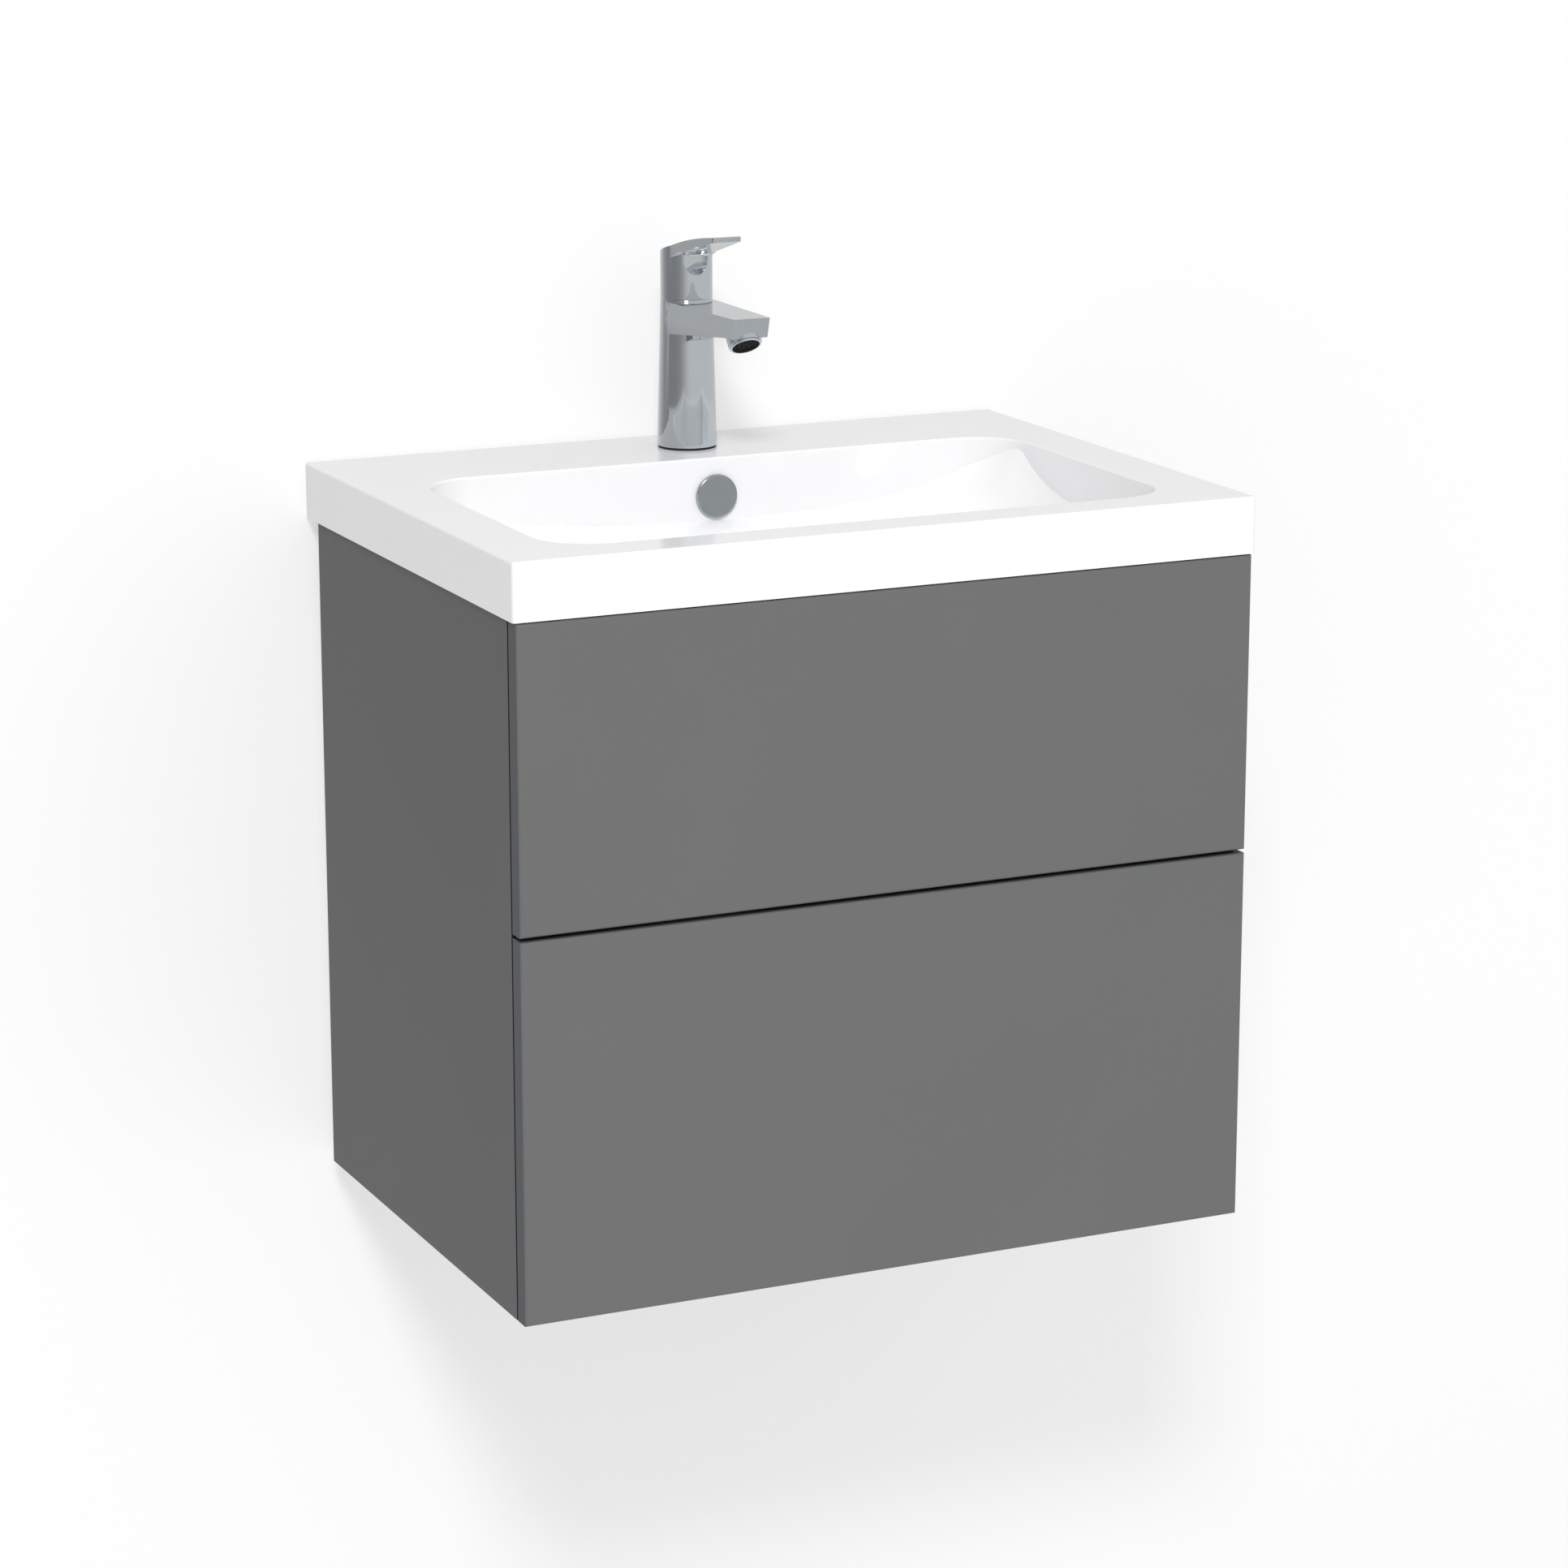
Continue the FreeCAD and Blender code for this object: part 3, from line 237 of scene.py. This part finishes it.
# Metalwork. Pressed and rolled steel, zinc plated: wall rail, brackets, angles, runners and screws.
# Zinc plate has a soft brushed sheen with faint spangles.

zinc, place, shader = new_finish("bright zinc plate", {"Metallic": 1.0, "Roughness": 0.36})
tint(zinc, place, shader, patch=0.006, dark="#a9abae", light="#bfc1c3")
roughen(zinc, place, shader, grain=0.0012, height=0.00001)
dress("zinc_steel", zinc)


weld = 1e-6
same_plane = math.radians(0.3)


def refined(node, material, angle=30, round_edges=0.0):
    """A node's shape merged and shaded smooth; edges sharper than the angle may be rounded."""
    bpy.ops.object.select_all(action="DESELECT")
    piece = frame["nodes"][node].copy()
    piece.data = frame["nodes"][node].data.copy()
    piece.parent = None
    piece.matrix_world = Matrix.Identity(4)
    piece.name = node + "_piece"
    bpy.context.collection.objects.link(piece)
    edit(piece)
    bpy.ops.mesh.select_all(action="SELECT")
    bpy.ops.mesh.remove_doubles(threshold=weld)
    if round_edges:
        bpy.ops.mesh.dissolve_limited(angle_limit=same_plane)
        bpy.ops.object.mode_set(mode="OBJECT")
        bevel = piece.modifiers.new("rounding", "BEVEL")
        bevel.width = round_edges
        bevel.segments = 2
        bevel.angle_limit = math.radians(angle)
        bpy.ops.object.modifier_apply(modifier="rounding")
    smooth(piece, angle)
    stand_in(piece, material, node)
    return piece


for node in ("bracket_screws", "tap_stud"):
    refined(node, zinc)


# Painted gap shade. A dark finish on the front edges of the side boards, seen in the gap behind the drawer
# fronts: painted shade that stands for the shadow in that gap.

gap_shade_band, place, shader = new_finish("painted gap shade band", {"Roughness": 0.6, "Specular IOR Level": 0.2})
tint(gap_shade_band, place, shader, patch=0.01, dark="#232426", light="#29292b")
roughen(gap_shade_band, place, shader, grain=0.0006, height=0.00001)
for node in ("side_left", "side_right"):
    side = refined(node, laminate)
    # The side boards' front faces take the painted gap shade
    shade_faces_by_normal(side, gap_shade_band, lambda normal: normal.y < -square_on)


# Moulded grey plastic: latch housings with their plungers, and the spacers that rest on the wall.
# It keeps the fine spark texture of its mould.

grey_plastic, place, shader = new_finish("moulded grey polyamide", {"Roughness": 0.5})
tint(grey_plastic, place, shader, patch=0.01, dark="#77797c", light="#7f8184")
roughen(grey_plastic, place, shader, grain=0.0006, height=0.00002)
dress("grey_plastic", grey_plastic)
for node in ("wall_spacers", "upper_latch_plunger", "lower_latch_plunger"):
    refined(node, grey_plastic)


# Basin. Cast ceramic with a white gloss glaze: a flat deck, a rounded opening, upright walls and a dished
# floor that meets the rear wall in a curved crease. A skirt hangs down round it, and the bowl hangs inside.

glaze, place, shader = new_finish("white gloss glaze", {"Roughness": 0.09, "IOR": 1.5})
tint(glaze, place, shader, patch=0.05, dark="#f3f3f4", light="#f7f7f8")
roughen(glaze, place, shader, grain=0.012, height=0.000015)
dress("basin_ceramic", glaze)

basin_low, basin_high = [Vector(corner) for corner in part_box("basin")]
rim = basin_high.z
deck = 0.012
skirt = 0.011
skirt_depth = 0.044
skirt_foot = rim - skirt_depth
drain_from_front = 0.200
bowl_depth = 0.118
drain = Vector((0, basin_low.y + drain_from_front, rim - bowl_depth))
seat_sink = 0.003
seat_radius = 0.033
drain_radius = 0.0225
boss_radius = 0.036
boss_depth = 0.142
boss_foot = rim - boss_depth
shell = 0.009
opening_reach = 0.254
rim_front = 0.038
rim_back = 0.116
opening_y = (basin_low.y + rim_front, basin_high.y - rim_back)
opening_corner = 0.045
rim_roll = 0.002
outer_corner = 0.003
outer_edge = 0.0025
sharp_corner = 0.0005
pocket_corner = 0.001
ring_gap = 0.001
side_steps = 32
corner_steps = 16
edge_steps = 4
roll_steps = 5
floor_steps = 28
shell_steps = 8
wall_shares = (0.34, 0.67, 1.0)
glaze_smooth_angle = 32


def rounded_ring(half_width, y_span, corner, height):
    """A rounded rectangle with equal numbers of points along every side and corner, whatever its size."""
    middle_y = (y_span[0] + y_span[1]) / 2
    reach = (half_width - corner, (y_span[1] - y_span[0]) / 2 - corner)
    points = []
    for side in range(4):
        turn = math.pi / 2 * side
        outward = (math.cos(turn), math.sin(turn))
        along = (-outward[1], outward[0])
        straight = reach[1] if side % 2 == 0 else reach[0]
        out = (reach[0] if side % 2 == 0 else reach[1]) + corner
        for step in range(side_steps):
            share = -1 + 2 * step / side_steps
            points.append(Vector((outward[0] * out + along[0] * straight * share,
                                  middle_y + outward[1] * out + along[1] * straight * share, height)))
        for step in range(corner_steps):
            angle = turn + math.pi / 2 * step / corner_steps
            centre = (math.copysign(reach[0], math.cos(turn + math.pi / 4)),
                      math.copysign(reach[1], math.sin(turn + math.pi / 4)))
            points.append(Vector((centre[0] + corner * math.cos(angle),
                                  middle_y + centre[1] + corner * math.sin(angle), height)))
    return points


def round_ring(ring, radius, height):
    """A circle about the drain with one point for each point of a ring, in the same direction."""
    points = []
    for point in ring:
        angle = math.atan2(point.y - drain.y, point.x - drain.x)
        points.append(Vector((radius * math.cos(angle), drain.y + radius * math.sin(angle), height)))
    return points


def skin(name, rings):
    """A surface through rings with equal numbers of points, made by extruding each from the one before."""
    bpy.ops.object.select_all(action="DESELECT")
    bpy.ops.mesh.primitive_circle_add(vertices=len(rings[0]), radius=0.01)
    piece = bpy.context.object
    piece.name = name
    bpy.ops.object.mode_set(mode="EDIT")
    bpy.ops.mesh.select_mode(type="VERT")
    bpy.ops.mesh.select_all(action="SELECT")
    for number, ring in enumerate(rings):
        if number:
            bpy.ops.mesh.extrude_region()
        shape = bmesh.from_edit_mesh(piece.data)
        picked = [vertex for vertex in shape.verts if vertex.select]
        for vertex, place in zip(picked, ring):
            vertex.co = place
        bmesh.update_edit_mesh(piece.data)
    return piece


def through(stations, place):
    """The value at a place of the one smooth curve that runs through all the stations."""
    total = 0.0
    for here, value in stations:
        share = value
        for other, _ in stations:
            if other != here:
                share *= (place - other) / (here - other)
        total += share
    return total


# The dish, as half widths and middle depths at distances behind the basin's front, and how full its curve
# is across: 2 would be an ellipse
dish_widths = ((0.035, 0.246), (0.088, 0.259), (0.140, 0.262), (0.200, 0.262), (0.260, 0.259), (0.329, 0.238))
dish_depths = ((0.035, 0.046), (0.088, 0.096), (0.140, 0.114), (0.200, 0.118), (0.260, 0.092), (0.329, 0.050))
dish_fullness = 2.3
crease_drop = 0.003
floor_crowding = 0.8


def dish_height(point):
    """The bowl's floor under a point: nearly flat in the middle, and ever steeper to the sides."""
    from_front = point.y - basin_low.y
    across = min(abs(point.x) / through(dish_widths, from_front), 1.0)
    return rim - through(dish_depths, from_front) * (1 - across ** dish_fullness) ** (1 / dish_fullness)


def floor_ring(rim_ring, share):
    """A ring of the floor, a share of the way from the wall to the drain's seat."""
    centre_ring = round_ring(rim_ring, seat_radius, 0)
    points = []
    for start, end in zip(rim_ring, centre_ring):
        point = start.lerp(end, share)
        point.z = dish_height(point)
        points.append(point)
    return points


slab_y = (basin_low.y, basin_high.y)
slab_half = basin_high.x
rings = [rounded_ring(slab_half, slab_y, outer_corner, skirt_foot)]
for step in range(edge_steps + 1):
    angle = math.pi / 2 * step / edge_steps
    inward = outer_edge * (1 - math.cos(angle))
    height = rim - outer_edge + outer_edge * math.sin(angle)
    span = (slab_y[0] + inward, slab_y[1] - inward)
    rings.append(rounded_ring(slab_half - inward, span, max(outer_corner - inward, sharp_corner), height))
for step in range(roll_steps + 1):
    angle = math.pi / 2 * step / roll_steps
    outward = rim_roll * (1 - math.sin(angle))
    height = rim - rim_roll + rim_roll * math.cos(angle)
    span = (opening_y[0] - outward, opening_y[1] + outward)
    rings.append(rounded_ring(opening_reach + outward, span, opening_corner + outward, height))
wall_ring = rings[-1]
crease_ring = [Vector((point.x, point.y, min(dish_height(point), rim - crease_drop))) for point in wall_ring]
for share in wall_shares:
    rings.append([top.lerp(foot, share) for top, foot in zip(wall_ring, crease_ring)])
for step in range(1, floor_steps + 1):
    rings.append(floor_ring(wall_ring, math.sin(math.pi / 2 * step / floor_steps) ** floor_crowding))
rings.append(round_ring(wall_ring, seat_radius, drain.z - seat_sink))
rings.append(round_ring(wall_ring, drain_radius, drain.z - seat_sink))
rings.append(round_ring(wall_ring, drain_radius, boss_foot))
rings.append(round_ring(wall_ring, boss_radius, boss_foot))
shell_span = (opening_y[0] - shell, opening_y[1] + shell)
shell_ring = rounded_ring(opening_reach + shell, shell_span, opening_corner + shell, rim - deck)
for step in range(shell_steps + 1):
    share = 1 - step / shell_steps
    points = []
    for outer, inner in zip(shell_ring, wall_ring):
        near = outer.lerp(round_ring([outer], boss_radius, 0)[0], share)
        over = inner.lerp(round_ring([inner], seat_radius, 0)[0], share)
        near.z = min(dish_height(over) - shell, rim - deck - ring_gap)
        points.append(near)
    rings.append(points)
rings.append(shell_ring)
pocket_span = (slab_y[0] + skirt, slab_y[1] - skirt)
rings.append(rounded_ring(slab_half - skirt, pocket_span, pocket_corner, rim - deck))
rings.append(rounded_ring(slab_half - skirt, pocket_span, pocket_corner, skirt_foot))
rings.append(rings[0])
basin = skin("ceramic_basin", rings)
bpy.ops.mesh.select_all(action="SELECT")
bpy.ops.mesh.remove_doubles(threshold=weld)
bpy.ops.mesh.normals_make_consistent(inside=False)
bpy.ops.object.mode_set(mode="OBJECT")

# Holes for the tap and for the overflow, and the duct behind the bowl that takes the overflow down
tap_hole = 0.0175
tap_from_wall = 0.060
overflow_radius = 0.013
overflow_z = rim - 0.031
cut_reach = (0.005, 0.015)
tap_cut_reach = (0.005, 0.002)
duct_half = 0.024
duct_depth = 0.0255
duct_low = Vector((-duct_half, drain.y, boss_foot))
duct_high = Vector((duct_half, opening_y[1] + duct_depth, rim - deck / 2))
# The duct's two sloping sides, each as a high point, a low point and the side that is cut off
duct_slopes = (
    ((0, duct_high.y, rim - 0.063), (0, drain.y + boss_radius, boss_foot), -1),
    ((0, opening_y[1] + 0.003, rim - 0.057), (0, drain.y + 0.060, rim - 0.100), 1))


def join(piece, other, operation):
    """Adds another solid to a piece, or cuts it out of the piece, and removes the other."""
    change = piece.modifiers.new(operation, "BOOLEAN")
    change.operation = operation
    change.object = other
    change.solver = "EXACT"
    bpy.ops.object.select_all(action="DESELECT")
    piece.select_set(True)
    bpy.context.view_layer.objects.active = piece
    bpy.ops.object.modifier_apply(modifier=change.name)
    bpy.data.objects.remove(other)


def plug(radius, start, end):
    """A round plug between two points, for cutting a hole."""
    bpy.ops.object.select_all(action="DESELECT")
    run = Vector(end) - Vector(start)
    bpy.ops.mesh.primitive_cylinder_add(
        vertices=96, radius=radius, depth=run.length, location=(Vector(start) + Vector(end)) / 2,
        rotation=run.to_track_quat("Z", "Y").to_euler())
    bpy.ops.object.transform_apply(location=True, rotation=True, scale=True)
    return bpy.context.object


duct = block("overflow_duct", duct_low, duct_high)
edit(duct)
for on_line, along_line, side in duct_slopes:
    bpy.ops.mesh.select_all(action="SELECT")
    fall_line = Vector(along_line) - Vector(on_line)
    outward = Vector((0, -fall_line.z, fall_line.y)).normalized() * side
    bpy.ops.mesh.bisect(plane_co=on_line, plane_no=outward, use_fill=True, clear_outer=True)
bpy.ops.object.mode_set(mode="OBJECT")
join(basin, duct, "UNION")
hole_y = opening_y[1]
overflow_cut = plug(
    overflow_radius, (0, hole_y - cut_reach[0], overflow_z), (0, hole_y + cut_reach[1], overflow_z))
join(basin, overflow_cut, "DIFFERENCE")
tap_y = -tap_from_wall
tap_cut = plug(tap_hole, (0, tap_y, rim + tap_cut_reach[0]), (0, tap_y, rim - deck - tap_cut_reach[1]))
join(basin, tap_cut, "DIFFERENCE")
smooth(basin, glaze_smooth_angle)
stand_in(basin, glaze, "basin")


# Waste and trap under the basin. White polypropylene, injection moulded and turned tight by hand.
# It looks slightly waxy.

white_plastic, place, shader = new_finish("moulded white polypropylene", {"Roughness": 0.35})
tint(white_plastic, place, shader, patch=0.02, dark="#e8e8e5", light="#f0f0ee")
roughen(white_plastic, place, shader, grain=0.003, height=0.00001)
dress("white_plastic", white_plastic)
for node in ("trap_body", "trap_cup", "trap_nut", "outlet_pipe", "waste_nut"):
    refined(node, white_plastic)

rubber, place, shader = new_finish("black rubber", {"Roughness": 0.75})
tint(rubber, place, shader, patch=0.005, dark="#161618", light="#1d1d1f")
roughen(rubber, place, shader, grain=0.0008, height=0.00002)
dress("black_rubber", rubber)
for node in ("waste_washer", "tap_gasket"):
    refined(node, rubber)


# Chrome fittings in the bowl: the drain's flange, its round click plug and the overflow cover.
# Pressed and turned brass under polished chrome plate.

chrome, place, shader = new_finish("polished chrome plate", {"Metallic": 1.0})
tint(chrome, place, shader, patch=0.02, dark="#c4cace", light="#cbd0d4")
polish = add_node(chrome, "ShaderNodeTexNoise", {"Scale": 120.0, "Detail": 3.0}, {"Vector": place})
gloss = add_node(chrome, "ShaderNodeMapRange", {"To Min": 0.04, "To Max": 0.08}, {"Value": polish.outputs[0]})
chrome.node_tree.links.new(gloss.outputs[0], shader.inputs["Roughness"])
dress("polished_chrome", chrome)
for node in ("waste_flange", "waste_plug", "aerator_housing", "handle_stem"):
    refined(node, chrome)

satin_chrome, place, shader = new_finish("satin chrome plate", {"Metallic": 1.0, "Roughness": 0.22})
tint(satin_chrome, place, shader, patch=0.01, dark="#a6acaf", light="#abb0b3")
roughen(satin_chrome, place, shader, grain=0.0008, height=0.000004)
refined("overflow_cover", satin_chrome)


# Tap. Cast and turned brass, ground flat and chrome plated: a tapered body with a flat spout, and the handle.
# Its edges are broken by the polishing wheel.

polished_edge = 0.0006
for node in ("tap_body", "handle"):
    refined(node, chrome, angle=25, round_edges=polished_edge)

black_plastic, place, shader = new_finish(
    "moulded black acetal", {"Roughness": 0.6, "Specular IOR Level": 0.1})
tint(black_plastic, place, shader, patch=0.004, dark="#0c0c0d", light="#121213")
dress("black_plastic", black_plastic)
refined("aerator_insert", black_plastic)

brass, place, shader = new_finish("turned brass", {"Metallic": 1.0, "Roughness": 0.25})
tint(brass, place, shader, patch=0.004, dark="#bb9b54", light="#c9aa62")
dress("brass", brass)
for node in ("stud_nut", "cartridge_nut"):
    refined(node, brass)


# Studio. A white wall behind the cabinet, a pale floor well below it, a broad soft light high in front on the
# left, and a bright room that is dimmer on the left. The wall glows a little, as a lit backdrop does, and
# shows only from its front, so that the back of the cabinet can be seen.

wall_paint, place, shader = new_finish("white wall paint", {
    "Base Color": linear("#bcbcbc"), "Roughness": 0.9, "Specular IOR Level": 0.0,
    "Emission Color": linear("#ffffff"), "Emission Strength": 0.47})
clear = add_node(wall_paint, "ShaderNodeBsdfTransparent", {}, {})
facing = add_node(wall_paint, "ShaderNodeNewGeometry", {}, {})
one_sided = add_node(wall_paint, "ShaderNodeMixShader", {}, {
    0: facing.outputs["Backfacing"], 1: shader.outputs["BSDF"], 2: clear.outputs["BSDF"]})
ending = [node for node in wall_paint.node_tree.nodes if node.type == "OUTPUT_MATERIAL"][0]
wall_paint.node_tree.links.new(one_sided.outputs[0], ending.inputs["Surface"])

bpy.ops.object.select_all(action="DESELECT")
room_size = 12
wall_clearance = 0.001
wall_middle = 1
floor_level = -1.3
bpy.ops.mesh.primitive_plane_add(
    size=room_size, location=(0, wall_clearance, wall_middle), rotation=(math.pi / 2, 0, 0))
wall = bpy.context.object
wall.name = "wall"
wall.data.materials.append(wall_paint)
wall.visible_shadow = False
wall.visible_diffuse = False
wall.visible_glossy = False

floor_paint, place, shader = new_finish("pale floor", {"Base Color": linear("#f2f2f2"), "Roughness": 0.9})
bpy.ops.mesh.primitive_plane_add(size=room_size, location=(0, 0, floor_level))
floor = bpy.context.object
floor.name = "floor"
floor.data.materials.append(floor_paint)

room_dim = 0.3
room_bright = 0.74
key_place = (-3.0, -6.6, 5.4)
key_aim = Vector((0, -0.2, -0.1))
world = bpy.data.worlds.new("bright room")
bpy.context.scene.world = world
world.use_nodes = True
outlook = add_node(world, "ShaderNodeTexCoord", {}, {}).outputs["Generated"]
sideways = add_node(world, "ShaderNodeSeparateXYZ", {}, {0: outlook})
brightness = add_node(world, "ShaderNodeMapRange", {
    "interpolation_type": "SMOOTHSTEP", "From Min": -1.0, "From Max": -0.1,
    "To Min": room_dim, "To Max": room_bright}, {"Value": sideways.outputs["X"]})
world.node_tree.nodes["Background"].inputs["Color"].default_value = (1, 1, 1, 1)
world.node_tree.links.new(brightness.outputs[0], world.node_tree.nodes["Background"].inputs["Strength"])

bpy.ops.object.light_add(type="AREA", location=key_place)
key = bpy.context.object
key.name = "broad soft light"
key.data.shape = "RECTANGLE"
key.data.size = 1.8
key.data.size_y = 1.4
key.data.energy = 400
key.rotation_euler = (key_aim - key.location).to_track_quat("-Z", "Y").to_euler()


# Camera. It stands in front and to the left at about chest height and is tilted down, with no shift.

camera_place = (-1.4830, -3.4422, 0.7420)
camera_turn = math.radians(24.88)
camera_tilt = math.radians(14.10)
bpy.ops.object.camera_add(location=camera_place, rotation=(math.pi / 2 - camera_tilt, 0, -camera_turn))
camera = bpy.context.object
camera.data.lens = 107.06
camera.data.sensor_width = 36
bpy.context.scene.camera = camera
bpy.context.scene.view_settings.view_transform = "Standard"
